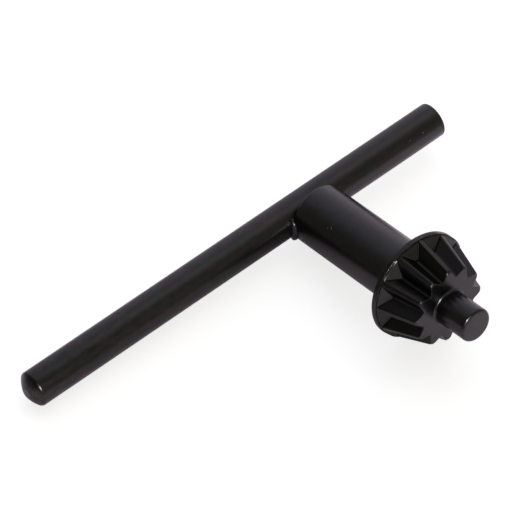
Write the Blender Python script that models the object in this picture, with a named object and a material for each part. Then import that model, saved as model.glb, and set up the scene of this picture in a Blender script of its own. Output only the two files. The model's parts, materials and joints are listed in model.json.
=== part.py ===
"""Drill chuck key: a round cross bar butt welded to a forged bevel pinion with a pilot pin.

Metres, +Z up. The key lies on the floor as it comes to rest, on the end of its shank, the rim of
the pinion's flange and the long end of its bar. +X runs along the long arm of the bar, and +Y from
the bar towards the pilot pin. The origin is on the floor, under the middle of the key.
"""

import math

import bmesh
import bpy
from mathutils import Matrix, Vector

# Cross bar
BAR_DIAMETER = 0.0060
LONG_ARM = 0.0569              # key axis to the long end
SHORT_ARM = 0.0274             # key axis to the short end
LONG_END_CONE_WIDTH = 0.00205  # how far the cone on the long end reaches in from the rim
LONG_END_CONE_LENGTH = 0.0012
LONG_END_SHOULDER = 0.0006     # radius of the round between the bar's side and the cone
SHORT_END_BEVEL = 0.0003

# Key body, measured along its axis from the centre line of the bar
SHANK_DIAMETER = 0.0103
SHANK_LENGTH = 0.0235          # flat end to the back of the flange
SHANK_END_RADIUS = 0.0003
NECK_FILLET = 0.0007           # between the shank and the back of the flange
FLANGE_THICKNESS = 0.0009
FLANGE_DIAMETER = 0.0182
FLANGE_RIM_RADIUS = 0.00024

# Bevel pinion
TOOTH_COUNT = 12
TOOTH_LENGTH = 0.0068          # flange to front face, along the axis
BIG_END_DIAMETER = 0.01785
SMALL_END_DIAMETER = 0.0135
TOOTH_DEPTH = 0.00145          # at the small end
TOOTH_LAND = 0.00058           # width of a tooth's crest at the small end
GAP_FLOOR = 0.00030            # width of a gap's floor at the small end
GAP_RUN_OUT = 0.00130          # where a gap's floor ends, ahead of the flange
CREST_BEVEL = 0.00030          # on the teeth's front corners
TOOTH_TURN = math.radians(-8.5)

# Pilot pin
PILOT_DIAMETER = 0.00575
PILOT_LENGTH = 0.00635
PILOT_BEVEL = 0.0005
PILOT_ROOT_FILLET = 0.00035

# Weld between the bar and the shank
WELD_UPSET = 0.0001            # how far the bar is pressed into the end of the shank
WELD_GAP = 0.0003              # keeps the two solids apart
BEAD_RADIUS = 0.00075
BEAD_INSET = 0.0002            # bead's line to the side of the shank
BEAD_SINK = 0.0001             # bead's line below the skin of the seat
BEAD_WRAP = math.radians(50.0)  # how far a bead follows the bar's round to either side
BEAD_TIP_SHARE = 0.2           # radius of a bead's two ends, as a share of its middle

# Facets
CUTTER_OVERSHOOT = 0.002       # how far a cutter goes past the face that it cuts
RIM_ARC_END = 60               # degrees, where the flange's front round meets the teeth
BAR_SIDES = 48
BODY_SIDES = 72
ARC_STEPS = 4
BEAD_SIDES = 12
BEAD_STEPS = 14
SMOOTH_ANGLE = math.radians(32.0)


def clear_scene():
    for item in list(bpy.data.objects):
        bpy.data.objects.remove(item, do_unlink=True)


def steel(name, colour, roughness):
    """A blackened steel for one piece."""
    material = bpy.data.materials.new(name)
    material.use_nodes = True
    shader = material.node_tree.nodes["Principled BSDF"]
    shader.inputs["Base Color"].default_value = (*colour, 1.0)
    shader.inputs["Roughness"].default_value = roughness
    shader.inputs["Metallic"].default_value = 0.0
    return material


def frame(name, parent=None):
    empty = bpy.data.objects.new(name, None)
    bpy.context.collection.objects.link(empty)
    empty.parent = parent
    return empty


def add_object(name, bm, parent):
    bmesh.ops.recalc_face_normals(bm, faces=bm.faces)
    mesh = bpy.data.meshes.new(name)
    bm.to_mesh(mesh)
    bm.free()
    mesh.shade_smooth()
    mesh.set_sharp_from_angle(angle=SMOOTH_ANGLE)
    piece = bpy.data.objects.new(name, mesh)
    bpy.context.collection.objects.link(piece)
    piece.parent = parent
    return piece


def cutter(name, bm, parent):
    """A hidden solid that another piece's Boolean uses."""
    piece = add_object(name, bm, parent)
    piece.hide_render = True
    piece.display_type = "WIRE"
    return piece


def apply_boolean(piece, tool, operation):
    boolean = piece.modifiers.new(tool.name, "BOOLEAN")
    boolean.operation = operation
    boolean.solver = "EXACT"
    boolean.object = tool


def arc(centre, radius, start, end, steps=ARC_STEPS):
    """Points (r, z) of a corner's round, from one angle to another."""
    points = []
    for step in range(steps + 1):
        angle = math.radians(start + (end - start) * step / steps)
        points.append((centre[0] + radius * math.cos(angle), centre[1] + radius * math.sin(angle)))
    return points


def turned(profile, sides, turn=0.0):
    """A solid of revolution about Z from (r, z) points that start and end on the axis."""
    bm = bmesh.new()
    verts = [bm.verts.new((r, 0.0, z)) for r, z in profile]
    edges = [bm.edges.new(pair) for pair in zip(verts, verts[1:])]
    bmesh.ops.rotate(bm, verts=bm.verts, cent=(0, 0, 0), matrix=Matrix.Rotation(turn, 3, "Z"))
    bmesh.ops.spin(bm, geom=verts + edges, cent=(0, 0, 0), axis=(0, 0, 1), angle=math.tau,
                   steps=sides, use_merge=True)
    bmesh.ops.remove_doubles(bm, verts=bm.verts, dist=1e-7)
    return bm


def bar_profile():
    """Turned about the bar's own axis, from the short end to the long one."""
    radius = BAR_DIAMETER / 2
    profile = [
        (0.0, -SHORT_ARM),
        (radius - SHORT_END_BEVEL, -SHORT_ARM),
        (radius, -SHORT_ARM + SHORT_END_BEVEL),
    ]
    cone = math.degrees(math.atan2(LONG_END_CONE_WIDTH, LONG_END_CONE_LENGTH))
    setback = LONG_END_SHOULDER * math.tan(math.radians(cone / 2))
    shoulder = (radius - LONG_END_SHOULDER, LONG_ARM - LONG_END_CONE_LENGTH - setback)
    profile += arc(shoulder, LONG_END_SHOULDER, 0, cone)
    profile += [(radius - LONG_END_CONE_WIDTH, LONG_ARM), (0.0, LONG_ARM)]
    return profile


def shank_end():
    """Distance of the shank's flat end from the bar's centre line."""
    return BAR_DIAMETER / 2 - WELD_UPSET


def flange_back():
    return shank_end() + SHANK_LENGTH


def flange_front():
    return flange_back() + FLANGE_THICKNESS


def front_face():
    """Distance of the pinion's front face from the bar's centre line."""
    return flange_front() + TOOTH_LENGTH


def cone_radius(z):
    """Radius of the cone over the tooth crests at a distance along the key's axis."""
    share = (z - flange_front()) / TOOTH_LENGTH
    return (BIG_END_DIAMETER + (SMALL_END_DIAMETER - BIG_END_DIAMETER) * share) / 2


def body_profile():
    """Shank, flange, pinion blank and pilot pin, turned about the key's axis."""
    shank = SHANK_DIAMETER / 2
    rim = FLANGE_DIAMETER / 2
    pilot = PILOT_DIAMETER / 2
    rim_round = rim - FLANGE_RIM_RADIUS
    back = flange_back()
    face = flange_front()
    front = front_face()
    tip = front + PILOT_LENGTH
    profile = [(0.0, shank_end())]
    profile += arc((shank - SHANK_END_RADIUS, shank_end() + SHANK_END_RADIUS), SHANK_END_RADIUS, -90, 0)
    profile += arc((shank + NECK_FILLET, back - NECK_FILLET), NECK_FILLET, 180, 90)
    profile += arc((rim_round, back + FLANGE_RIM_RADIUS), FLANGE_RIM_RADIUS, -90, 0)
    profile += arc((rim_round, face - FLANGE_RIM_RADIUS), FLANGE_RIM_RADIUS, 0, RIM_ARC_END)
    profile.append((cone_radius(face), face))
    profile.append((cone_radius(front - CREST_BEVEL), front - CREST_BEVEL))
    profile.append((cone_radius(front) - CREST_BEVEL, front))
    profile += arc((pilot + PILOT_ROOT_FILLET, front + PILOT_ROOT_FILLET), PILOT_ROOT_FILLET, -90, -180)
    profile += arc((pilot - PILOT_BEVEL, tip - PILOT_BEVEL), PILOT_BEVEL, 0, 90)
    profile.append((0.0, tip))
    return profile


def gap_section():
    """Outline (across, outward) of one tooth gap at the front face, a wide V with a narrow floor."""
    tip_radius = SMALL_END_DIAMETER / 2
    half_angle = math.pi / TOOTH_COUNT - TOOTH_LAND / 2 / tip_radius
    floor = tip_radius - TOOTH_DEPTH
    mouth = (tip_radius * math.sin(half_angle), tip_radius * math.cos(half_angle))
    outside = 1 + CUTTER_OVERSHOOT / tip_radius
    beyond = (mouth[0] * outside, mouth[1] * outside)
    half = [(GAP_FLOOR / 2, floor), mouth, beyond]
    return [(-x, y) for x, y in reversed(half)] + half


def tooth_gaps():
    """One cutter for all the gaps. Each narrows towards the point where the cone closes, as a bevel
    gear's teeth do, and runs out on a slanted wall that climbs to the rim of the flange."""
    front = front_face()
    face = flange_front()
    slope = (BIG_END_DIAMETER - SMALL_END_DIAMETER) / 2 / TOOTH_LENGTH
    apex = front + SMALL_END_DIAMETER / 2 / slope
    floor = SMALL_END_DIAMETER / 2 - TOOTH_DEPTH
    run_out = face + GAP_RUN_OUT
    floor_end = Vector((0.0, floor * (apex - run_out) / (apex - front), run_out))
    rim = Vector((0.0, BIG_END_DIAMETER / 2, face))
    wall_normal = (rim - floor_end).cross(Vector((1, 0, 0)))
    point = Vector((0, 0, apex))
    ahead = 1 - CUTTER_OVERSHOOT / (apex - front)
    bm = bmesh.new()
    for index in range(TOOTH_COUNT):
        turn = TOOTH_TURN + math.tau * (index + 0.5) / TOOTH_COUNT
        spin = Matrix.Rotation(turn - math.pi / 2, 3, "Z")
        near, far = [], []
        for across, outward in gap_section():
            ray = Vector((across, outward, front)) - point
            start = point + ray * ahead
            end = point + ray * ((floor_end - point).dot(wall_normal) / ray.dot(wall_normal))
            near.append(bm.verts.new(spin @ start))
            far.append(bm.verts.new(spin @ end))
        bm.faces.new(near)
        bm.faces.new(list(reversed(far)))
        for a in range(len(near)):
            b = (a + 1) % len(near)
            bm.faces.new((near[b], near[a], far[a], far[b]))
    return bm


def bead(side):
    """A weld bead that lies in the corner between the bar and one side of the shank."""
    line = side * (SHANK_DIAMETER / 2 - BEAD_INSET)
    reach = BAR_DIAMETER / 2 + WELD_GAP - BEAD_SINK
    bm = bmesh.new()
    rings = []
    for step in range(BEAD_STEPS + 1):
        share = 2 * step / BEAD_STEPS - 1
        along = share * BEAD_WRAP
        radius = BEAD_RADIUS * math.sqrt(1 - share * share + BEAD_TIP_SHARE ** 2)
        outward = Vector((0, math.sin(along), math.cos(along)))
        centre = Vector((line, 0, 0)) + outward * reach
        ring = []
        for spoke in range(BEAD_SIDES):
            angle = math.tau * (spoke + 0.5) / BEAD_SIDES
            offset = Vector((math.cos(angle), 0, 0)) + outward * math.sin(angle)
            ring.append(bm.verts.new(centre + offset * radius))
        rings.append(ring)
    for low, high in zip(rings, rings[1:]):
        for a in range(BEAD_SIDES):
            b = (a + 1) % BEAD_SIDES
            bm.faces.new((low[a], low[b], high[b], high[a]))
    bm.faces.new(rings[0])
    bm.faces.new(rings[-1])
    return bm


def bar_seat():
    """The bar's round with the weld gap around it, across the end of the shank."""
    bm = bmesh.new()
    radius = BAR_DIAMETER / 2 + WELD_GAP
    bmesh.ops.create_cone(bm, cap_ends=True, segments=BAR_SIDES, radius1=radius, radius2=radius,
                          depth=SHANK_DIAMETER + 2 * CUTTER_OVERSHOOT,
                          matrix=Matrix.Rotation(math.pi / 2, 4, "Y"))
    return bm


def build_handle_bar(key):
    bar = add_object("handle_bar", turned(bar_profile(), BAR_SIDES), key)
    bar.rotation_euler = (0, math.pi / 2, 0)
    bar.data.materials.append(steel("blackened_bar", (0.030, 0.027, 0.026), 0.36))
    return bar


def build_key_body(key):
    """The forging stands along its parent's +Y, so its own +Z is laid over."""
    body_frame = frame("key_axis", key)
    body_frame.rotation_euler = (-math.pi / 2, 0, 0)
    body = add_object("key_body", turned(body_profile(), BODY_SIDES, TOOTH_TURN), body_frame)
    body.data.materials.append(steel("blackened_forging", (0.028, 0.027, 0.030), 0.32))
    apply_boolean(body, cutter("tooth_gaps", tooth_gaps(), body_frame), "DIFFERENCE")
    for name, side in (("long_side_bead", 1), ("short_side_bead", -1)):
        apply_boolean(body, cutter(name, bead(side), body_frame), "UNION")
    apply_boolean(body, cutter("bar_seat", bar_seat(), body_frame), "DIFFERENCE")
    return body


def rise(near, far):
    """Angle from the key's axis to the line that touches two rims, each as (r, z)."""
    return math.atan2(far[0] - near[0], far[1] - near[1])


def rims_on_floor():
    """The rims of the shank's end and of the flange that meet the floor: the line over both has the
    rest of the profile on its inner side."""
    profile = body_profile()
    shank = [point for point in profile if point[1] <= shank_end() + SHANK_END_RADIUS and point[0] > 0]
    flange = [point for point in profile if flange_back() <= point[1] <= flange_front()]
    pairs = [(near, max(flange, key=lambda far: rise(near, far))) for near in shank]
    return min(pairs, key=lambda pair: rise(*pair))


def rest_turn():
    """Turns the key to where it comes to rest. The body lies on the rims of its shank and its flange,
    which lifts the bar a little, so the key leans over until the bar's long end is down too."""
    near, far = rims_on_floor()
    axis_rise = rise(near, far)
    lift = near[0] * math.cos(axis_rise) - near[1] * math.sin(axis_rise)
    edge = Vector((LONG_ARM - LONG_END_CONE_LENGTH, BAR_DIAMETER / 2))
    lean = math.asin(lift / edge.length) - math.atan2(edge.y, edge.x)
    bar_axis = Vector((math.cos(lean), 0, -math.sin(lean)))
    key_axis = Vector((math.sin(axis_rise) * math.tan(lean), 0, math.sin(axis_rise)))
    key_axis.y = math.sqrt(1 - key_axis.length_squared)
    return Matrix((bar_axis, key_axis, bar_axis.cross(key_axis))).transposed().to_euler()


def lay_on_floor(key, pieces):
    """Puts the floor at the key's lowest point and the origin under the middle of its box."""
    bpy.context.view_layer.update()
    corners = [piece.matrix_world @ vert.co for piece in pieces for vert in piece.data.vertices]
    low = [min(corner[axis] for corner in corners) for axis in range(3)]
    high = [max(corner[axis] for corner in corners) for axis in range(3)]
    key.location = (-(low[0] + high[0]) / 2, -(low[1] + high[1]) / 2, -low[2])


def main():
    clear_scene()
    key = frame("key")
    key.rotation_euler = rest_turn()
    pieces = [build_handle_bar(key), build_key_body(key)]
    lay_on_floor(key, pieces)


main()
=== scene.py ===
"""Looks of the drill chuck key: its blackened steel, its rounded edges and its weld.

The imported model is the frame. The forged body and the cross bar are made again here with the same
sizes and true rounds, and the weld between them closes the gap that the two solids keep. Metres,
+Z up. Sizes along the key's axis are measured from the centre line of the bar.
"""

import json
import logging
import math
from dataclasses import dataclass, field
from enum import Enum

import bmesh
import bpy
import numpy as np
from mathutils import Matrix, Vector, noise


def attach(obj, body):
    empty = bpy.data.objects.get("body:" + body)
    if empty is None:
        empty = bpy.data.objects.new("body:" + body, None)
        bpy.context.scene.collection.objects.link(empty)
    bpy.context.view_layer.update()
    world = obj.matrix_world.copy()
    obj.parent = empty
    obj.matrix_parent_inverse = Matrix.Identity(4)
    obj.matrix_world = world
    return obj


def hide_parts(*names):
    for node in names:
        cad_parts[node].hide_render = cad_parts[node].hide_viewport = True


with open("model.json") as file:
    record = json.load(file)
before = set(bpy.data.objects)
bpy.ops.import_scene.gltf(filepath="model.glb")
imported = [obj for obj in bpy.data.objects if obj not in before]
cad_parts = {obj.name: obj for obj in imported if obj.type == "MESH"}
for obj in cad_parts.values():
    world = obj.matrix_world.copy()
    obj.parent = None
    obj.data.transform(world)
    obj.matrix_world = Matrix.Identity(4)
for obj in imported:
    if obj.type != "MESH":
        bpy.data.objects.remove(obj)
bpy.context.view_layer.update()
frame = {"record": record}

BODY = "root"  # the record's body, which every piece rides on
SHADE = "shade"  # the mesh attribute that holds painted shade on the skin
MILLIMETRE = 0.001
NO_WALL = 1.0  # a radius far outside the key
TINY = 1e-9  # keeps a division by a length from failing on the axis

Colour = tuple[float, float, float]
Socket = bpy.types.NodeSocket

log = logging.getLogger("chuck_key")


class Slot(Enum):
    """The record's material slots."""

    BAR = "bar_steel"
    FORGING = "body_steel"


class Arm(Enum):
    """The two sides of the key's axis, by the sign of X."""

    LONG = 1
    SHORT = -1


@dataclass(frozen=True)
class KeyAxes:
    """The key's own axes as it lies at rest: X along the bar, Y towards the pilot pin."""

    origin: Vector
    bar: Vector
    key: Vector

    @classmethod
    def from_record(cls, reach: float) -> "KeyAxes":
        """Reads the axes from the mount on the end of the pilot pin.

        Args:
            reach: Distance from the bar's centre line to the end of the pilot pin.

        Returns:
            The key's origin and its two axes in the row frame.
        """
        mount = frame["record"]["mounts"][0]
        key = Vector(mount["axis"]).normalized()
        bar = Vector((0.0, 1.0, 0.0)).cross(key).normalized()
        return cls(Vector(mount["pos_m"]) - key * reach, bar, key)

    def matrix(self) -> Matrix:
        """The placing of a piece that is modelled in the key's axes."""
        columns = Matrix((self.bar, self.key, self.bar.cross(self.key))).transposed()
        return Matrix.Translation(self.origin) @ columns.to_4x4()


def arc(centre: tuple[float, float], radius: float, start: float, end: float,
        steps: int) -> list[tuple[float, float]]:
    """Points on a round of a profile.

    Args:
        centre: Centre as (radius, place along the axis).
        radius: Radius of the round.
        start: First angle in degrees, from the outward direction.
        end: Last angle in degrees.
        steps: Number of steps between the two.

    Returns:
        The points as (radius, place along the axis).
    """
    points = []
    for step in range(steps + 1):
        angle = math.radians(start + (end - start) * step / steps)
        points.append((centre[0] + radius * math.cos(angle), centre[1] + radius * math.sin(angle)))
    return points


def part_way(start: float, end: float, share: float) -> float:
    """The value at a share of the way between two."""
    return start + (end - start) * share


def smooth_max(a: np.ndarray, b: np.ndarray, blend: float) -> np.ndarray:
    """The larger of two heights, with a fillet where they cross.

    Args:
        a: First heights.
        b: Second heights.
        blend: Difference of height over which the fillet runs.

    Returns:
        The blended heights.
    """
    share = np.clip(0.5 + 0.5 * (a - b) / blend, 0.0, 1.0)
    return a * share + b * (1.0 - share) + blend * share * (1.0 - share)


def smooth_min(a: np.ndarray, b: np.ndarray, blend: float) -> np.ndarray:
    """The smaller of two heights, with a round where they cross."""
    return -smooth_max(-a, -b, blend)


def link(name: str, data: bpy.types.ID) -> bpy.types.Object:
    """Makes an object of a mesh, a light or a camera, and links it to the scene.

    Args:
        name: Name of the object.
        data: What the object shows.

    Returns:
        The new object.
    """
    made = bpy.data.objects.new(name, data)
    bpy.context.scene.collection.objects.link(made)
    return made


def skin(name: str, rings: list[np.ndarray], start: Vector, end: Vector) -> bpy.types.Object:
    """A closed surface over a row of rings that all have as many points.

    Args:
        name: Name of the object and its mesh.
        rings: Rings of points, each of shape (points, 3).
        start: Point that closes the first ring.
        end: Point that closes the last ring.

    Returns:
        The new object, linked to the scene.
    """
    sides = len(rings[0])
    points = np.concatenate([*rings, [tuple(start), tuple(end)]])
    faces = []
    for row in range(len(rings) - 1):
        low, high = row * sides, (row + 1) * sides
        for a in range(sides):
            b = (a + 1) % sides
            faces.append((low + a, low + b, high + b, high + a))
    first, last = len(rings) * sides, len(rings) * sides + 1
    top = (len(rings) - 1) * sides
    for a in range(sides):
        b = (a + 1) % sides
        faces.append((first, b, a))
        faces.append((last, top + a, top + b))
    mesh = bpy.data.meshes.new(name)
    mesh.from_pydata(points.tolist(), [], faces)
    bm = bmesh.new()
    bm.from_mesh(mesh)
    bmesh.ops.recalc_face_normals(bm, faces=bm.faces)
    bm.to_mesh(mesh)
    bm.free()
    mesh.shade_smooth()
    return link(name, mesh)


def corners(mesh: bpy.types.Mesh) -> tuple[np.ndarray, np.ndarray, np.ndarray]:
    """Finds how deep each point of a mesh lies in an inner corner or next to one.

    Args:
        mesh: The mesh.

    Returns:
        Places and normals of the points, and how steeply the surface rises there, as the most
        that a point or one of its neighbours has.
    """
    count = len(mesh.vertices)
    places, normals = np.empty(3 * count), np.empty(3 * count)
    mesh.vertices.foreach_get("co", places)
    mesh.vertices.foreach_get("normal", normals)
    places, normals = places.reshape(-1, 3), normals.reshape(-1, 3)
    ends = np.empty(2 * len(mesh.edges), dtype=np.int32)
    mesh.edges.foreach_get("vertices", ends)
    start, end = ends.reshape(-1, 2).T
    run = places[end] - places[start]
    run /= np.linalg.norm(run, axis=1)[:, None]
    rise = np.bincount(start, (run * normals[start]).sum(axis=1), count)
    rise -= np.bincount(end, (run * normals[end]).sum(axis=1), count)
    widest = rise.copy()
    np.maximum.at(widest, start, rise[end])
    np.maximum.at(widest, end, rise[start])
    return places, normals, widest


@dataclass(frozen=True)
class Waves:
    """The slight unevenness of a skin: how high and how long its waves are, and where they start."""

    height: float
    length: float
    seed: float


def roughen(piece: bpy.types.Object, waves: Waves) -> None:
    """Gives a piece the slight unevenness of its skin.

    Args:
        piece: Object whose mesh is moved along its normals.
        waves: The unevenness. Its seed makes two pieces differ.
    """
    mesh = piece.data
    shift = Vector((waves.seed,) * 3)
    moved = []
    for vert in mesh.vertices:
        wave = noise.noise(vert.co / waves.length + shift)
        moved.append(vert.co + vert.normal * (wave * waves.height))
    for vert, place in zip(mesh.vertices, moved):
        vert.co = place


@dataclass(frozen=True)
class Clouds:
    """A cloudy pattern: its octaves, how rough they are, and the band over which it fades in."""

    detail: float
    roughness: float
    start: float = 0.0
    end: float = 1.0


class Sketch:
    """Adds nodes to an emptied tree, with less writing."""

    def __init__(self, owner: bpy.types.Material | bpy.types.World) -> None:
        """Empties the node tree of a material or a world.

        Args:
            owner: What the nodes are for.
        """
        owner.use_nodes = True
        self.tree = owner.node_tree
        self.tree.nodes.clear()

    def add(self, kind: str, settings: dict | None = None,
            **inputs: float | tuple | Vector | Socket) -> bpy.types.Node:
        """Adds a node.

        Args:
            kind: Type of the node.
            settings: Properties of the node itself.
            **inputs: Values or output sockets for its inputs, with spaces written as underlines.

        Returns:
            The new node.
        """
        node = self.tree.nodes.new(kind)
        for name, value in (settings or {}).items():
            setattr(node, name, value)
        for name, value in inputs.items():
            key = int(name[1:]) if name[0] == "_" else name.replace("_", " ")
            self.feed(node.inputs[key], value)
        return node

    def feed(self, socket: Socket, value: float | tuple | Vector | Socket) -> None:
        """Links an output to an input socket, or sets the input's own value.

        Args:
            socket: The input.
            value: The output or the value.
        """
        if isinstance(value, Socket):
            self.tree.links.new(value, socket)
        else:
            socket.default_value = value

    def math(self, operation: str, a: float | Socket, b: float | Socket = 0.0) -> Socket:
        """The result of a Math node on two values or sockets."""
        return self.add("ShaderNodeMath", {"operation": operation}, _0=a, _1=b).outputs[0]

    def product(self, a: Colour | Socket, b: Colour | Socket) -> Socket:
        """Two colours or vectors multiplied, channel by channel."""
        return self.add("ShaderNodeVectorMath", {"operation": "MULTIPLY"}, _0=a, _1=b).outputs["Vector"]

    def scaled(self, colour: Colour | Socket, factor: float | Socket) -> Socket:
        """A colour or vector multiplied by one number."""
        return self.add("ShaderNodeVectorMath", {"operation": "SCALE"}, _0=colour,
                        Scale=factor).outputs["Vector"]

    def ramp(self, value: Socket, stops: list[tuple[float, Colour]]) -> Socket:
        """Turns a value from 0 to 1 into a colour.

        Args:
            value: Output with the value.
            stops: Pairs of a place from 0 to 1 and a linear colour.

        Returns:
            The ramp's colour.
        """
        node = self.add("ShaderNodeValToRGB", None, Fac=value)
        elements = node.color_ramp.elements
        while len(elements) < len(stops):
            elements.new(1.0)
        for element, (place, colour) in zip(elements, stops):
            element.position = place
            element.color = (*colour, 1.0)
        return node.outputs["Color"]

    def noise(self, place: Socket, size: float, clouds: Clouds) -> Socket:
        """A noise from 0 to 1 with patches of about a given size."""
        return self.add("ShaderNodeTexNoise", None, Vector=place, Scale=1.0 / size,
                        Detail=clouds.detail, Roughness=clouds.roughness).outputs["Fac"]

    def cloudy(self, place: Socket, size: float, clouds: Clouds, low: Colour, high: Colour) -> Socket:
        """A noise that fades from one colour to another.

        Args:
            place: Output with the place that the noise is read at.
            size: Size of its patches.
            clouds: Its octaves and the band over which it fades.
            low: Colour under the band.
            high: Colour over the band.

        Returns:
            The colour.
        """
        return self.ramp(self.noise(place, size, clouds), [(clouds.start, low), (clouds.end, high)])

    def mix(self, share: Socket, a: Socket, b: Socket) -> Socket:
        """A colour between two others.

        Args:
            share: Output with the share of the second colour, from 0 to 1.
            a: First colour.
            b: Second colour.

        Returns:
            The colour between them.
        """
        node = self.add("ShaderNodeMix", {"data_type": "RGBA"}, _0=share, _6=a, _7=b)
        return node.outputs[2]


PATCHES = Clouds(detail=5.0, roughness=0.62, start=0.36, end=0.64)
GRAIN = Clouds(detail=3.0, roughness=0.6)
STAINS = Clouds(detail=4.0, roughness=0.65, start=0.36, end=0.70)
STAIN_HUES = Clouds(detail=1.0, roughness=0.5, start=0.36, end=0.64)
BLACK, WHITE = (0.0,) * 3, (1.0,) * 3


@dataclass(frozen=True)
class BlackOxide:
    """Black oxide on steel: it mirrors like a very dark metal and has faint brown and green stains.

    Sizes are in metres. The painted falloff of light is given as pairs of a place along the bar, in
    millimetres, and how strongly the skin mirrors there.
    """

    name: str
    slot: Slot
    deep: Colour
    pale: Colour
    rust: Colour
    moss: Colour
    edge_tint: Colour
    metallic: float
    stain_metallic: float
    stain_size: float
    roughness: float
    roughness_spread: float
    mottle: float
    stretch: float
    grain: float
    grain_depth: float
    pit_share: float
    # painted light: places along the bar and how strongly the softbox's light is mirrored there
    light_falloff: tuple[tuple[float, float], ...]
    # painted shade: how dark the skin gets in the creases and on the flanks
    painted_shade_level: float = 0.03
    hue_spread: float = 1.5
    hue_shift: tuple[float, float, float] = (0.31, 0.17, 0.23)
    pit_spacing: float = 1.0 / 0.35
    pit_depth: float = 0.8
    grain_gloss: float = 0.5
    falloff_reach: float = 0.05
    falloff_most: float = 2.0

    def material(self) -> bpy.types.Material:
        """Makes the finish as a node material.

        Returns:
            A material in which colour, dullness, roughness and bump come from the same mottling.
        """
        material = bpy.data.materials.new(self.name)
        sketch = Sketch(material)
        place = sketch.add("ShaderNodeTexCoord").outputs["Object"]
        drawn = sketch.add("ShaderNodeMapping", None, Vector=place,
                           Scale=(1.0 / self.stretch, 1.0, 1.0)).outputs["Vector"]
        patches = sketch.noise(drawn, self.mottle, PATCHES)
        fine = sketch.noise(drawn, self.grain, GRAIN)
        stains = sketch.cloudy(drawn, self.stain_size, STAINS, BLACK, WHITE)
        dullness = sketch.math("MULTIPLY", stains, self.metallic - self.stain_metallic)
        shader = sketch.add(
            "ShaderNodeBsdfPrincipled", None,
            Base_Color=self.colour(sketch, place, drawn, patches, stains),
            Metallic=sketch.math("SUBTRACT", self.metallic, dullness),
            Roughness=self.gloss(sketch, patches, fine), Normal=self.relief(sketch, drawn, fine),
            Specular_Tint=(*self.edge_tint, 1.0))
        sketch.add("ShaderNodeOutputMaterial", None, Surface=shader.outputs["BSDF"])
        return material

    def colour(self, sketch: Sketch, place: Socket, drawn: Socket, patches: Socket,
               stains: Socket) -> Socket:
        """The mottled skin with its rust and moss stains, a painted falloff of light along the bar, and
        painted shade on the teeth's flanks and in the creases.

        Args:
            sketch: Sketch that the nodes go into.
            place: Place in the row frame.
            drawn: The same place, stretched along the bar.
            patches: The mottling.
            stains: Where the skin is stained.

        Returns:
            The colour.
        """
        mottled = sketch.ramp(patches, [(PATCHES.start, self.deep), (PATCHES.end, self.pale)])
        # painted light: the mottled colour is dimmed along the bar as the softbox's light falls off
        painted_lit = sketch.product(mottled, self.painted_light_along(sketch, place))
        aside = sketch.add("ShaderNodeMapping", None, Vector=drawn, Location=self.hue_shift)
        hues = sketch.cloudy(aside.outputs["Vector"], self.hue_spread * self.stain_size, STAIN_HUES,
                             self.moss, self.rust)
        shade = sketch.add("ShaderNodeAttribute", {"attribute_name": SHADE}).outputs["Fac"]
        # painted shade: the skin is darkened on the teeth's flanks and in their inner corners
        painted_hollow_shade = sketch.ramp(shade, [(0.0, WHITE), (1.0, (self.painted_shade_level,) * 3)])
        return sketch.product(sketch.mix(stains, painted_lit, hues), painted_hollow_shade)

    def gloss(self, sketch: Sketch, patches: Socket, fine: Socket) -> Socket:
        """The roughness, which varies with the mottling and the grain.

        Args:
            sketch: Sketch that the nodes go into.
            patches: The mottling.
            fine: The grain.

        Returns:
            The roughness.
        """
        level = self.roughness
        for pattern, weight in ((patches, 1.0), (fine, self.grain_gloss)):
            swing = sketch.math("SUBTRACT", pattern, 0.5)
            swing = sketch.math("MULTIPLY", swing, weight * self.roughness_spread)
            level = sketch.math("ADD", level, swing)
        return level

    def relief(self, sketch: Sketch, drawn: Socket, fine: Socket) -> Socket:
        """The bump of the grain and of the pits in it.

        Args:
            sketch: Sketch that the nodes go into.
            drawn: Place, stretched along the bar.
            fine: The grain.

        Returns:
            The bumped normal.
        """
        cells = sketch.add("ShaderNodeTexVoronoi", None, Vector=drawn,
                           Scale=1.0 / (self.pit_spacing * self.grain)).outputs["Distance"]
        pits = sketch.math("LESS_THAN", cells, self.pit_share)
        height = sketch.math("SUBTRACT", fine, sketch.math("MULTIPLY", pits, self.pit_depth))
        return sketch.add("ShaderNodeBump", None, Height=height, Strength=1.0,
                          Distance=self.grain_depth).outputs["Normal"]

    def painted_light_along(self, sketch: Sketch, place: Socket) -> Socket:
        """Painted light along the bar: how strongly the skin mirrors as the softbox's light falls off.

        Args:
            sketch: Sketch that the nodes go into.
            place: Place in the row frame.

        Returns:
            A grey that the skin's colour is multiplied by.
        """
        along = sketch.add("ShaderNodeSeparateXYZ", None, Vector=place).outputs["X"]
        share = sketch.math("ADD", sketch.math("MULTIPLY", along, 0.5 / self.falloff_reach), 0.5)
        stops = [((x * MILLIMETRE / self.falloff_reach + 1.0) / 2.0, (level / self.falloff_most,) * 3)
                 for x, level in self.light_falloff]
        return sketch.scaled(sketch.ramp(share, stops), self.falloff_most)

    def dress(self, piece: bpy.types.Object) -> None:
        """Puts the finish on a piece.

        Args:
            piece: The piece.
        """
        material = bpy.data.materials.get(self.name) or self.material()
        piece.data.materials.clear()
        piece.data.materials.append(material)


BAR_OXIDE = BlackOxide(
    name="bar_oxide", slot=Slot.BAR,
    deep=(0.0328, 0.0320, 0.0332), pale=(0.0388, 0.0375, 0.0402), rust=(0.051, 0.038, 0.038),
    moss=(0.036, 0.042, 0.035), edge_tint=(0.95, 0.90, 0.97), metallic=0.98, stain_metallic=0.86,
    stain_size=0.8 * MILLIMETRE, roughness=0.30, roughness_spread=0.05, mottle=0.9 * MILLIMETRE,
    stretch=2.2, grain=0.30 * MILLIMETRE, grain_depth=0.0015 * MILLIMETRE, pit_share=0.10,
    # painted light: the mirrored light dims towards the long end as the softbox's light falls off
    light_falloff=((-42.0, 1.20), (-15.0, 1.08), (19.0, 1.0), (30.0, 0.90), (42.0, 0.78)))

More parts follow.
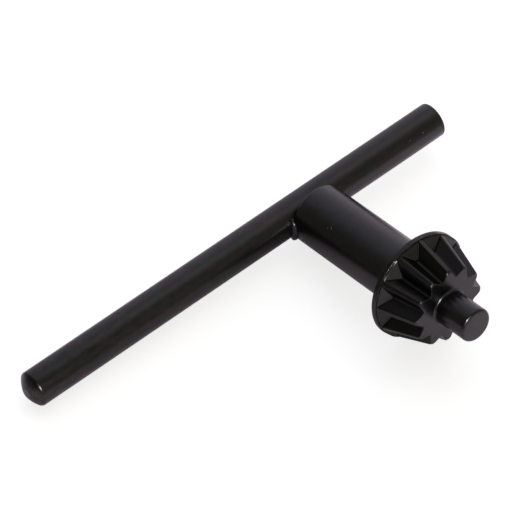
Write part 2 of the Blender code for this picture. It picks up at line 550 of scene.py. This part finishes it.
BODY_OXIDE = BlackOxide(
    name="body_oxide", slot=Slot.FORGING,
    deep=(0.0375, 0.0365, 0.0375), pale=(0.0425, 0.0410, 0.0430), rust=(0.046, 0.040, 0.040),
    moss=(0.038, 0.042, 0.035), edge_tint=(0.97, 0.93, 0.99), metallic=0.98, stain_metallic=0.92,
    stain_size=0.8 * MILLIMETRE, roughness=0.29, roughness_spread=0.05, mottle=1.4 * MILLIMETRE,
    stretch=1.0, grain=0.25 * MILLIMETRE, grain_depth=0.0008 * MILLIMETRE, pit_share=0.05,
    light_falloff=((-42.0, 1.0), (42.0, 1.0)))


@dataclass
class HandleBar:
    """The round cross bar, off centre, with a pointed long end and a sawn short end."""

    diameter: float = 0.0060
    long_arm: float = 0.0569
    short_arm: float = 0.0274
    cone_width: float = 0.00205
    cone_length: float = 0.0012
    shoulder: float = 0.0007
    tip_round: float = 0.00012
    cone_bulge: float = 0.00008
    short_end_bevel: float = 0.0003
    sides: int = 128
    end_rings: tuple[float, float] = (0.3, 0.7)
    bevel_steps: int = 6
    length_steps: int = 40
    shoulder_steps: int = 8
    dome_steps: int = 10
    tip_steps: int = 4
    waves: Waves = Waves(height=0.003 * MILLIMETRE, length=3.0 * MILLIMETRE, seed=4.0)
    finish: BlackOxide = BAR_OXIDE

    def profile(self) -> list[tuple[float, float]]:
        """The bar's outline from its short end to its long one.

        Returns:
            Points as (radius, place along the bar).
        """
        radius = self.diameter / 2
        bevel = self.short_end_bevel
        cone = math.degrees(math.atan2(self.cone_width, self.cone_length))
        setback = self.shoulder * math.tan(math.radians(cone / 2))
        shoulder = (radius - self.shoulder, self.long_arm - self.cone_length - setback)
        flat = radius - self.cone_width
        inset = self.tip_round * math.tan(math.radians((90 - cone) / 2))
        points = [(share * (radius - bevel), -self.short_arm) for share in self.end_rings]
        points += arc((radius - bevel, -self.short_arm + bevel), bevel, -90, 0, self.bevel_steps)
        run = self.long_arm + self.short_arm
        points += [(radius, -self.short_arm + run * step / self.length_steps)
                   for step in range(1, self.length_steps - 2)]
        dome = self.cone_arc(cone)
        points += arc(shoulder, self.shoulder, 0, cone - dome, self.shoulder_steps)
        tip = arc((flat - inset, self.long_arm - self.tip_round), self.tip_round, cone + dome, 90,
                  self.tip_steps)
        base, slope = points[-1], math.radians(cone)
        for step in range(1, self.dome_steps):
            share = step / self.dome_steps
            lift = 4.0 * self.cone_bulge * share * (1.0 - share)
            points.append((part_way(base[0], tip[0][0], share) + lift * math.cos(slope),
                           part_way(base[1], tip[0][1], share) + lift * math.sin(slope)))
        points += tip
        points += [(share * (flat - inset), self.long_arm) for share in reversed(self.end_rings)]
        return points

    def cone_arc(self, cone: float) -> float:
        """Half the angle in degrees through which the domed cone turns."""
        run = (self.cone_width - self.shoulder) / math.sin(math.radians(cone))
        return math.degrees(math.atan2(4.0 * self.cone_bulge, run))

    def build(self, axes: KeyAxes) -> bpy.types.Object:
        """Makes the bar and puts it where the frame has it.

        Args:
            axes: The key's axes at rest.

        Returns:
            The bar, which stands for its node.
        """
        angles = np.linspace(0.0, math.tau, self.sides, endpoint=False)
        rings = [np.stack([np.full(self.sides, along), radius * np.cos(angles), radius * np.sin(angles)],
                          axis=1) for radius, along in self.profile()]
        bar = skin("cross_bar", rings, Vector((-self.short_arm, 0, 0)), Vector((self.long_arm, 0, 0)))
        roughen(bar, self.waves)
        bar.data.transform(axes.matrix())
        self.finish.dress(bar)
        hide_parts("handle_bar")
        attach(bar, BODY)
        return bar


@dataclass
class KeyBody:
    """The forging: shank, flange, bevel pinion and pilot pin in one piece.

    The fields from floor_columns to pilot_round_steps lay out its mesh. Columns and the arc of the
    flange's rim are in degrees.
    """

    weld_upset: float = 0.0001
    shank_diameter: float = 0.0103
    shank_length: float = 0.0235
    shank_end_radius: float = 0.0003
    neck_fillet: float = 0.0007
    flange_thickness: float = 0.0009
    flange_diameter: float = 0.0182
    flange_rim_radius: float = 0.00006
    flange_rim_arc: float = 60.0
    tooth_count: int = 12
    tooth_length: float = 0.0068
    big_end_diameter: float = 0.01785
    small_end_diameter: float = 0.0135
    tooth_depth: float = 0.00145
    tooth_land: float = 0.00058
    gap_floor: float = 0.00030
    gap_run_out: float = 0.00130
    crest_round: float = 0.00042
    tooth_turn: float = math.radians(8.5)
    pilot_diameter: float = 0.00575
    pilot_length: float = 0.00635
    pilot_round: float = 0.0005
    pilot_root_fillet: float = 0.00042
    crest_edge: float = 0.00018
    root_blend: float = 0.00016
    wall_blend: float = 0.00003
    rim_edge: float = 0.00004
    front_edge: float = 0.00003
    # painted shade on the teeth's flanks and in their inner corners
    crease_rise: float = 0.35
    flank_shade: float = 0.36
    flank_from: float = 0.3
    flank_over: float = 0.2
    bar_diameter: float = HandleBar.diameter
    floor_columns: float = 2.6
    edge_columns: tuple[float, float] = (1.1, 1.0)
    column_steps: tuple[int, ...] = (6, 12, 8, 2)
    least_facing: float = 0.02
    end_rings: tuple[float, float] = (0.3, 0.7)
    flange_rings: tuple[float, float] = (0.35, 0.7)
    face_rings: tuple[float, ...] = (0.25, 0.5, 0.75, 0.92)
    edge_steps: int = 5
    fillet_steps: int = 6
    shank_steps: int = 10
    run_out_reach: float = 1.4
    run_out_steps: int = 36
    tooth_steps: int = 12
    crest_steps: int = 4
    pilot_steps: int = 5
    pilot_round_steps: int = 8
    waves: Waves = Waves(height=0.008 * MILLIMETRE, length=2.5 * MILLIMETRE, seed=9.0)
    finish: BlackOxide = BODY_OXIDE
    angles: np.ndarray = field(init=False)

    def __post_init__(self) -> None:
        """Spaces the columns of the surface, closer at the teeth's edges."""
        corner = math.degrees(self.mouth_angle())
        half_pitch = 180.0 / self.tooth_count
        before, after = self.edge_columns
        marks = (0.0, self.floor_columns, corner - before, corner + after, half_pitch)
        runs = [np.linspace(start, end, steps, endpoint=False)
                for start, end, steps in zip(marks, marks[1:], self.column_steps)]
        half = np.concatenate([*runs, [half_pitch]])
        pitch = np.concatenate([-half[:0:-1], half[:-1]])
        gaps = np.arange(self.tooth_count) * 2 * half_pitch
        self.angles = np.radians(gaps[:, None] + pitch[None, :]).ravel()

    @property
    def shank_end(self) -> float:
        """Distance of the shank's flat end from the bar's centre line."""
        return self.bar_diameter / 2 - self.weld_upset

    @property
    def flange_back(self) -> float:
        """Distance of the flange's back."""
        return self.shank_end + self.shank_length

    @property
    def flange_front(self) -> float:
        """Distance of the flange's front, where the teeth start."""
        return self.flange_back + self.flange_thickness

    @property
    def front(self) -> float:
        """Distance of the pinion's front face."""
        return self.flange_front + self.tooth_length

    @property
    def tip(self) -> float:
        """Distance of the end of the pilot pin."""
        return self.front + self.pilot_length

    def mouth_angle(self) -> float:
        """Half the angle of a tooth gap at the teeth's crests, in radians."""
        return math.pi / self.tooth_count - self.tooth_land / self.small_end_diameter

    def cone_radius(self, along: float) -> float:
        """Radius over the teeth's crests, with the round at the front.

        Args:
            along: Distance along the axis.

        Returns:
            The radius there.
        """
        share = (along - self.flange_front) / self.tooth_length
        radius = part_way(self.big_end_diameter, self.small_end_diameter, share) / 2
        into = (along - (self.front - self.crest_round)) / self.crest_round
        if into > 0.0:
            radius -= self.crest_round * (1.0 - math.sqrt(max(0.0, 1.0 - into * into)))
        return radius

    def toothed(self, along: float, outside: float) -> np.ndarray:
        """Radius of every column in one section across the teeth.

        Args:
            along: Distance of the section along the axis.
            outside: Radius that the section has where there is no gap.

        Returns:
            One radius for each column.
        """
        slope = (self.big_end_diameter - self.small_end_diameter) / 2 / self.tooth_length
        apex = self.front + self.small_end_diameter / 2 / slope
        scale = (apex - along) / (apex - self.front)
        small = self.small_end_diameter / 2
        floor = small - self.tooth_depth
        mouth = (small * math.sin(self.mouth_angle()), small * math.cos(self.mouth_angle()))
        lean = (mouth[0] - self.gap_floor / 2) / (mouth[1] - floor)
        run_out = self.flange_front + self.gap_run_out
        floor_end = floor * (apex - run_out) / (apex - self.front)
        climb = (self.big_end_diameter / 2 - floor_end) / self.gap_run_out
        wall = self.big_end_diameter / 2 - (along - self.flange_front) * climb
        pitch = math.tau / self.tooth_count
        turn = np.abs((self.angles + pitch / 2) % pitch - pitch / 2)
        facing = lean * np.cos(turn) - np.sin(turn)
        reach = (lean * floor - self.gap_floor / 2) * scale
        flank = reach / np.maximum(facing, self.least_facing)
        flank = np.where(facing > self.least_facing, flank, NO_WALL)
        trough = smooth_max(floor * scale / np.cos(turn), np.minimum(flank, NO_WALL), self.root_blend)
        gap = smooth_max(trough, wall / np.cos(turn), self.wall_blend)
        edge = self.crest_edge if along > self.flange_front else self.rim_edge
        return smooth_min(np.full_like(gap, outside), gap, edge)

    def ring(self, radius: np.ndarray | float, along: float) -> np.ndarray:
        """Points of one ring, turned so that the teeth stand as the frame has them.

        Args:
            radius: One radius for the whole ring, or one for each column.
            along: Distance along the axis.

        Returns:
            The points, of shape (columns, 3).
        """
        turn = self.angles + self.tooth_turn + math.pi / self.tooth_count
        spread = np.broadcast_to(radius, turn.shape)
        return np.stack([spread * np.cos(turn), np.full(turn.shape, along), spread * np.sin(turn)],
                        axis=1)

    def back_rings(self) -> list[np.ndarray]:
        """Rings from the middle of the shank's end to the widest part of the flange.

        Returns:
            The rings in order.
        """
        shank = self.shank_diameter / 2
        rim = self.flange_diameter / 2 - self.flange_rim_radius
        end, back = self.shank_end, self.flange_back
        points = [(share * (shank - self.shank_end_radius), end) for share in self.end_rings]
        points += arc((shank - self.shank_end_radius, end + self.shank_end_radius),
                      self.shank_end_radius, -90, 0, self.edge_steps)
        straight = back - self.neck_fillet - end - self.shank_end_radius
        points += [(shank, end + self.shank_end_radius + straight * step / self.shank_steps)
                   for step in range(1, self.shank_steps)]
        neck = shank + self.neck_fillet
        points += arc((neck, back - self.neck_fillet), self.neck_fillet, 180, 90, self.fillet_steps)
        points += [(part_way(neck, rim, share), back) for share in self.flange_rings]
        points += arc((rim, back + self.flange_rim_radius), self.flange_rim_radius, -90, 0,
                      self.edge_steps)
        return [self.ring(radius, along) for radius, along in points]

    def tooth_rings(self) -> list[np.ndarray]:
        """Rings over the front of the flange's rim and along the teeth.

        Returns:
            The rings in order.
        """
        rim = self.flange_diameter / 2 - self.flange_rim_radius
        start = self.flange_front
        rings = []
        for radius, along in arc((rim, start - self.flange_rim_radius), self.flange_rim_radius, 0,
                                 self.flange_rim_arc, self.edge_steps)[1:]:
            rings.append(self.ring(self.toothed(along, radius), along))
        places = list(start + np.linspace(0.0, self.gap_run_out * self.run_out_reach,
                                          self.run_out_steps + 1))
        straight_end = self.front - self.crest_round
        places += list(np.linspace(places[-1], straight_end, self.tooth_steps + 1)[1:])
        last = math.asin(1.0 - self.front_edge / self.crest_round)
        places += [straight_end + self.crest_round * math.sin(last * step / self.crest_steps)
                   for step in range(1, self.crest_steps + 1)]
        rings += [self.ring(self.toothed(along, self.cone_radius(along)), along) for along in places]
        return rings

    def front_rings(self) -> list[np.ndarray]:
        """Rings that round the teeth's front edges and cross the front face to the pilot pin.

        Returns:
            The rings in order.
        """
        rings = []
        edge = self.front_edge
        for step in range(1, self.edge_steps + 1):
            angle = math.radians(90 * step / self.edge_steps)
            along = self.front - edge + edge * math.sin(angle)
            ring = self.ring(self.toothed(along, self.cone_radius(along)), along)
            run = np.roll(ring, -1, axis=0) - np.roll(ring, 1, axis=0)
            outward = np.stack([run[:, 2], np.zeros(len(run)), -run[:, 0]], axis=1)
            outward /= np.linalg.norm(outward, axis=1)[:, None]
            outward *= np.sign((outward * ring).sum(axis=1))[:, None]
            rings.append(ring - outward * edge * (1.0 - math.cos(angle)))
        root = self.pilot_diameter / 2 + self.pilot_root_fillet
        inner = self.ring(root, self.front)
        rings += [rings[-1] + (inner - rings[-1]) * share for share in self.face_rings]
        return rings

    def mark_painted_shade(self, mesh: bpy.types.Mesh) -> None:
        """Stores painted shade on the skin: darker on the teeth's flanks and in their inner corners,
        where shade falls.

        Args:
            mesh: Mesh of the forging in the key's own axes.
        """
        places, normals, rise = corners(mesh)
        outward = places * (1.0, 0.0, 1.0)
        outward /= np.linalg.norm(outward, axis=1)[:, None] + TINY
        sideways = np.abs(normals[:, 0] * outward[:, 2] - normals[:, 2] * outward[:, 0])
        flank = self.flank_shade * np.clip((sideways - self.flank_from) / self.flank_over, 0.0, 1.0)
        corner = np.clip(rise / self.crease_rise, 0.0, 1.0)
        along = places[:, 1]
        toothed = (along > self.flange_front) & (along < self.front - self.front_edge)
        shade = np.where(toothed, np.maximum(flank, corner), 0.0)
        marks = mesh.attributes.new(SHADE, "FLOAT", "POINT")
        marks.data.foreach_set("value", shade.astype(np.float32))

    def pilot_rings(self) -> list[np.ndarray]:
        """Rings up the pilot pin and over its rounded end.

        Returns:
            The rings in order.
        """
        radius = self.pilot_diameter / 2
        root = self.pilot_root_fillet
        points = arc((radius + root, self.front + root), root, -90, -180, self.fillet_steps)
        side = self.tip - self.pilot_round - self.front - root
        points += [(radius, self.front + root + side * step / self.pilot_steps)
                   for step in range(1, self.pilot_steps)]
        flat = radius - self.pilot_round
        points += arc((flat, self.tip - self.pilot_round), self.pilot_round, 0, 90,
                      self.pilot_round_steps)
        points += [(share * flat, self.tip) for share in reversed(self.flange_rings)]
        return [self.ring(value, along) for value, along in points]

    def build(self, axes: KeyAxes) -> bpy.types.Object:
        """Makes the forging and puts it where the frame has it.

        Args:
            axes: The key's axes at rest.

        Returns:
            The forging, which stands for its node.
        """
        rings = self.back_rings() + self.tooth_rings() + self.front_rings() + self.pilot_rings()
        body = skin("pinion_body", rings, Vector((0, self.shank_end, 0)), Vector((0, self.tip, 0)))
        self.mark_painted_shade(body.data)
        roughen(body, self.waves)
        body.data.transform(axes.matrix())
        self.finish.dress(body)
        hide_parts("key_body")
        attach(body, BODY)
        return body


@dataclass
class WeldBead:
    """Weld metal squeezed out between the bar and one side of the shank."""

    arm: Arm
    bar_diameter: float = HandleBar.diameter
    shank_diameter: float = KeyBody.shank_diameter
    radius: float = 0.00075
    inset: float = 0.0002
    line_gap: float = 0.0002
    lowest: float = math.radians(-50.0)
    highest: float = math.radians(38.0)
    tip_share: float = 0.2
    ripple: float = 0.02
    ripples: int = 7
    sides: int = 28
    steps: int = 48
    finish: BlackOxide = BODY_OXIDE

    def build(self, axes: KeyAxes) -> bpy.types.Object:
        """Makes the bead as a tapered roll around the bar.

        Args:
            axes: The key's axes at rest.

        Returns:
            The bead.
        """
        line = self.arm.value * (self.shank_diameter / 2 - self.inset)
        reach = self.bar_diameter / 2 + self.line_gap
        spokes = np.linspace(0.0, math.tau, self.sides, endpoint=False)
        rings = []
        for step in range(self.steps + 1):
            share = 2 * step / self.steps - 1
            along = (self.highest + self.lowest + share * (self.highest - self.lowest)) / 2
            swell = 1.0 + self.ripple * math.sin(share * self.ripples * math.pi)
            radius = self.radius * swell * math.sqrt(1 - share * share + self.tip_share ** 2)
            outward = np.array((0.0, math.cos(along), math.sin(along)))
            centre = np.array((line, 0.0, 0.0)) + outward * reach
            rings.append(centre + radius * (np.cos(spokes)[:, None] * np.array((1.0, 0.0, 0.0))
                                            + np.sin(spokes)[:, None] * outward))
        name = f"weld_{self.arm.name.lower()}_side"
        bead = skin(name, rings, Vector(rings[0].mean(axis=0)), Vector(rings[-1].mean(axis=0)))
        bead.data.transform(axes.matrix())
        self.finish.dress(bead)
        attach(bead, BODY)
        return bead


@dataclass
class Spatter:
    """A grain of weld spatter that stuck to the shank or to the bar."""

    name: str
    middle: tuple[float, float, float]
    radius: float
    finish: BlackOxide = BODY_OXIDE
    subdivisions: int = 4
    unevenness: float = 0.03
    seed: float = 2.0

    def build(self, axes: KeyAxes) -> bpy.types.Object:
        """Makes the grain.

        Args:
            axes: The key's axes at rest.

        Returns:
            The grain, sunk a little into the steel under it.
        """
        mesh = bpy.data.meshes.new(self.name)
        bm = bmesh.new()
        bmesh.ops.create_icosphere(bm, subdivisions=self.subdivisions, radius=self.radius)
        bm.to_mesh(mesh)
        bm.free()
        mesh.shade_smooth()
        grain = link(self.name, mesh)
        roughen(grain, Waves(self.unevenness * self.radius, self.radius, self.seed))
        mesh.transform(axes.matrix() @ Matrix.Translation(self.middle))
        self.finish.dress(grain)
        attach(grain, BODY)
        return grain


GRAINS = (
    Spatter("spatter_a", (0.00326, 0.01076, 0.00399), 0.00027),
    Spatter("spatter_b", (0.00353, 0.01007, 0.00375), 0.00014),
    Spatter("spatter_c", (-0.02300, 0.00256, 0.00157), 0.00022, BAR_OXIDE),
    Spatter("spatter_d", (-0.02024, 0.00250, 0.00167), 0.00020, BAR_OXIDE),
    Spatter("spatter_e", (-0.01701, 0.00249, 0.00168), 0.00013, BAR_OXIDE),
)


def direction(azimuth: float, elevation: float) -> Vector:
    """A unit vector from an azimuth and an elevation in degrees."""
    turn, rise = math.radians(azimuth), math.radians(elevation)
    return Vector((math.cos(turn) * math.cos(rise), math.sin(turn) * math.cos(rise), math.sin(rise)))


@dataclass(frozen=True)
class Glow:
    """A soft patch of light in the sky, brightest in one direction, with its angles in degrees."""

    azimuth: float
    elevation: float
    strength: float
    tightness: float
    colour: Colour


SOFTBOX = Glow(azimuth=-140.7, elevation=16.1, strength=0.652, tightness=8.91,
               colour=(1.035, 1.0, 1.413))
WINDOW = Glow(azimuth=-100.4, elevation=38.2, strength=0.455, tightness=7.46,
              colour=(0.973, 1.0, 1.311))
TOP_PANEL = Glow(azimuth=-170.5, elevation=64.6, strength=0.834, tightness=18.4,
                 colour=(0.995, 1.0, 1.044))
ROOM = Glow(azimuth=-170.6, elevation=-43.9, strength=1.088, tightness=1.21,
            colour=(1.049, 1.0, 0.841))


@dataclass
class Studio:
    """White table, a softbox behind the key, a dim warm room in front of it and one small lamp."""

    table_radius: float = 3.0
    table_sides: int = 64
    table_white: float = 0.80
    table_glow: float = 0.77
    mirrored_glow: Colour = (0.89, 0.82, 0.89)
    # painted shadows on the table as mirrors see it: a dark patch near the gear and a darker band behind
    # the bar
    painted_shadow_depth: float = 0.55
    painted_shadow_middle: tuple[float, float, float] = (0.016, 0.010, 0.0)
    painted_shadow_width: float = 0.020
    painted_back_shade: float = 0.20
    back_edge: tuple[float, float] = (-0.046, -0.026)
    # painted shadow: the table's glow in mirrors is dimmed by occlusion towards this direction
    shadow_azimuth: float = 178.0
    shadow_elevation: float = 30.0
    shadow_reach: float = 0.045
    shadow_power: float = 1.8
    shadow_samples: int = 16
    mirrored_radius: float = 0.08
    glows: tuple[Glow, ...] = (SOFTBOX, WINDOW, TOP_PANEL, ROOM)
    lamp_azimuth: float = 64.3
    lamp_elevation: float = 37.2
    lamp_distance: float = 0.60
    lamp_size: float = 0.03
    lamp_watts: float = 4.4

    def build_table(self) -> bpy.types.Object:
        """A white table that keeps the key's shadow, wide enough to fill every view.

        Returns:
            The table.
        """
        mesh = bpy.data.meshes.new("table")
        bm = bmesh.new()
        bmesh.ops.create_circle(bm, cap_ends=True, segments=self.table_sides, radius=self.table_radius)
        bm.to_mesh(mesh)
        bm.free()
        table = link("table", mesh)
        mesh.materials.append(self.table_material())
        return table

    def table_material(self) -> bpy.types.Material:
        """White to the camera and in mirrors, with the key's shadow: cast for the camera, painted into
        the glow that mirrors see. Clear in mirrors further out.

        Returns:
            The material of the table.
        """
        material = bpy.data.materials.new("white_table")
        sketch = Sketch(material)
        white = sketch.add("ShaderNodeBsdfDiffuse", None, Color=(*(self.table_white,) * 3, 1.0))
        path = sketch.add("ShaderNodeLightPath").outputs
        lit_from = direction(self.shadow_azimuth, self.shadow_elevation)
        facing = sketch.add("ShaderNodeCombineXYZ", None, X=lit_from.x, Y=lit_from.y, Z=lit_from.z)
        openness = sketch.add("ShaderNodeAmbientOcclusion", {"samples": self.shadow_samples},
                              Distance=self.shadow_reach, Normal=facing.outputs["Vector"]).outputs["AO"]
        reflected = sketch.math("MAXIMUM", path["Is Glossy Ray"], path["Is Transmission Ray"])
        place = sketch.add("ShaderNodeTexCoord").outputs["Object"]
        # painted shadow: the table's glow in mirrors is dimmed by occlusion and by the painted patches
        shaded = sketch.math("POWER", openness, self.shadow_power)
        light = sketch.math("MULTIPLY", shaded, self.painted_table_shadows(sketch, place))
        seen = sketch.add("ShaderNodeEmission", None, Color=(*WHITE, 1.0),
                          Strength=sketch.math("MULTIPLY", path["Is Camera Ray"], self.table_glow))
        mirror = sketch.add("ShaderNodeEmission", None, Color=(*self.mirrored_glow, 1.0),
                            Strength=sketch.math("MULTIPLY", light, reflected))
        glow = sketch.add("ShaderNodeAddShader", None, _0=seen.outputs[0], _1=mirror.outputs[0])
        both = sketch.add("ShaderNodeAddShader", None, _0=white.outputs[0], _1=glow.outputs[0])
        away = sketch.add("ShaderNodeVectorMath", {"operation": "LENGTH"}, _0=place).outputs["Value"]
        far = sketch.math("MULTIPLY", sketch.math("GREATER_THAN", away, self.mirrored_radius), reflected)
        clear = sketch.add("ShaderNodeBsdfTransparent")
        surface = sketch.add("ShaderNodeMixShader", None, _0=far, _1=both.outputs[0],
                             _2=clear.outputs[0])
        sketch.add("ShaderNodeOutputMaterial", None, Surface=surface.outputs[0])
        return material

    def painted_table_shadows(self, sketch: Sketch, place: Socket) -> Socket:
        """Painted shadows on the mirrored table: a dark patch between the gear and the long arm, and
        darker behind the bar.

        Args:
            sketch: Sketch that the nodes go into.
            place: Place on the table.

        Returns:
            A share from 0 to 1.
        """
        away = sketch.add("ShaderNodeVectorMath", {"operation": "DISTANCE"}, _0=place,
                          _1=self.painted_shadow_middle).outputs["Value"]
        near = sketch.math("POWER", sketch.math("DIVIDE", away, self.painted_shadow_width), 2.0)
        shade = sketch.math("EXPONENT", sketch.math("MULTIPLY", near, -1.0))
        depth = sketch.add("ShaderNodeSeparateXYZ", None, Vector=place).outputs["Y"]
        first, last = self.back_edge
        back = sketch.add("ShaderNodeMapRange", {"interpolation_type": "SMOOTHSTEP"}, _0=depth,
                          _1=first, _2=last, _3=self.painted_back_shade, _4=1.0).outputs[0]
        return sketch.math("MULTIPLY", back, sketch.math(
            "SUBTRACT", 1.0, sketch.math("MULTIPLY", shade, self.painted_shadow_depth)))

    def build_sky(self) -> None:
        """Lights the key by the glows, which every ray sees alike."""
        world = bpy.data.worlds.new("studio")
        bpy.context.scene.world = world
        sketch = Sketch(world)
        view = sketch.add("ShaderNodeTexCoord").outputs["Generated"]
        total = BLACK
        for glow in self.glows:
            towards = direction(glow.azimuth, glow.elevation)
            facing = sketch.add("ShaderNodeVectorMath", {"operation": "DOT_PRODUCT"}, _0=view,
                                _1=tuple(towards)).outputs["Value"]
            fall = sketch.math("EXPONENT", sketch.math(
                "MULTIPLY", sketch.math("SUBTRACT", facing, 1.0), glow.tightness))
            light = sketch.scaled(glow.colour, sketch.math("MULTIPLY", fall, glow.strength))
            total = sketch.add("ShaderNodeVectorMath", {"operation": "ADD"}, _0=total,
                               _1=light).outputs["Vector"]
        background = sketch.add("ShaderNodeBackground", None, Color=total)
        sketch.add("ShaderNodeOutputWorld", None, Surface=background.outputs[0])

    def build_lamp(self) -> bpy.types.Object:
        """The small lamp beside the camera that puts the pin highlights on the edges, in gloss alone.

        Returns:
            The lamp.
        """
        light = bpy.data.lights.new("side_lamp", "AREA")
        light.shape = "DISK"
        light.size = self.lamp_size
        light.energy = self.lamp_watts
        lamp = link("side_lamp", light)
        towards = direction(self.lamp_azimuth, self.lamp_elevation)
        lamp.location = towards * self.lamp_distance
        lamp.rotation_euler = towards.to_track_quat("Z", "Y").to_euler()
        lamp.visible_diffuse = False
        return lamp

    def build(self) -> None:
        """Builds the table, the sky and the lamp."""
        self.build_table()
        self.build_sky()
        self.build_lamp()
        bpy.context.scene.view_settings.view_transform = "Standard"


@dataclass
class Viewpoint:
    """The camera, at the angle and distance of the photograph."""

    aim: tuple[float, float, float] = (-0.00423, -0.01892, 0.0)
    azimuth: float = 49.69
    elevation: float = 49.83
    distance: float = 0.5849
    roll: float = -0.25
    focal_length: float = 258.9
    sensor: float = 36.0
    nearest: float = 0.01

    def build(self) -> bpy.types.Object:
        """Makes the camera and sets it as the scene's own.

        Returns:
            The camera.
        """
        data = bpy.data.cameras.new("viewpoint")
        data.sensor_width = self.sensor
        data.lens = self.focal_length
        data.clip_start = self.nearest
        camera = link("viewpoint", data)
        back = direction(self.azimuth, self.elevation)
        level = back.to_track_quat("Z", "Y").to_matrix().to_4x4()
        tilt = Matrix.Rotation(math.radians(self.roll), 4, "Z")
        camera.matrix_world = Matrix.Translation(Vector(self.aim) + back * self.distance) @ level @ tilt
        bpy.context.scene.camera = camera
        return camera


def main() -> None:
    """Builds the key, the studio and the camera, and reports each piece."""
    logging.basicConfig(level=logging.INFO, format="%(message)s")
    body = KeyBody()
    axes = KeyAxes.from_record(body.tip)
    makers = [HandleBar(), body, WeldBead(Arm.LONG), WeldBead(Arm.SHORT), *GRAINS]
    for maker in makers:
        piece = maker.build(axes)
        log.info("%s: %d faces", piece.name, len(piece.data.polygons))
    Studio().build()
    Viewpoint().build()


if __name__ == "__main__":
    main()
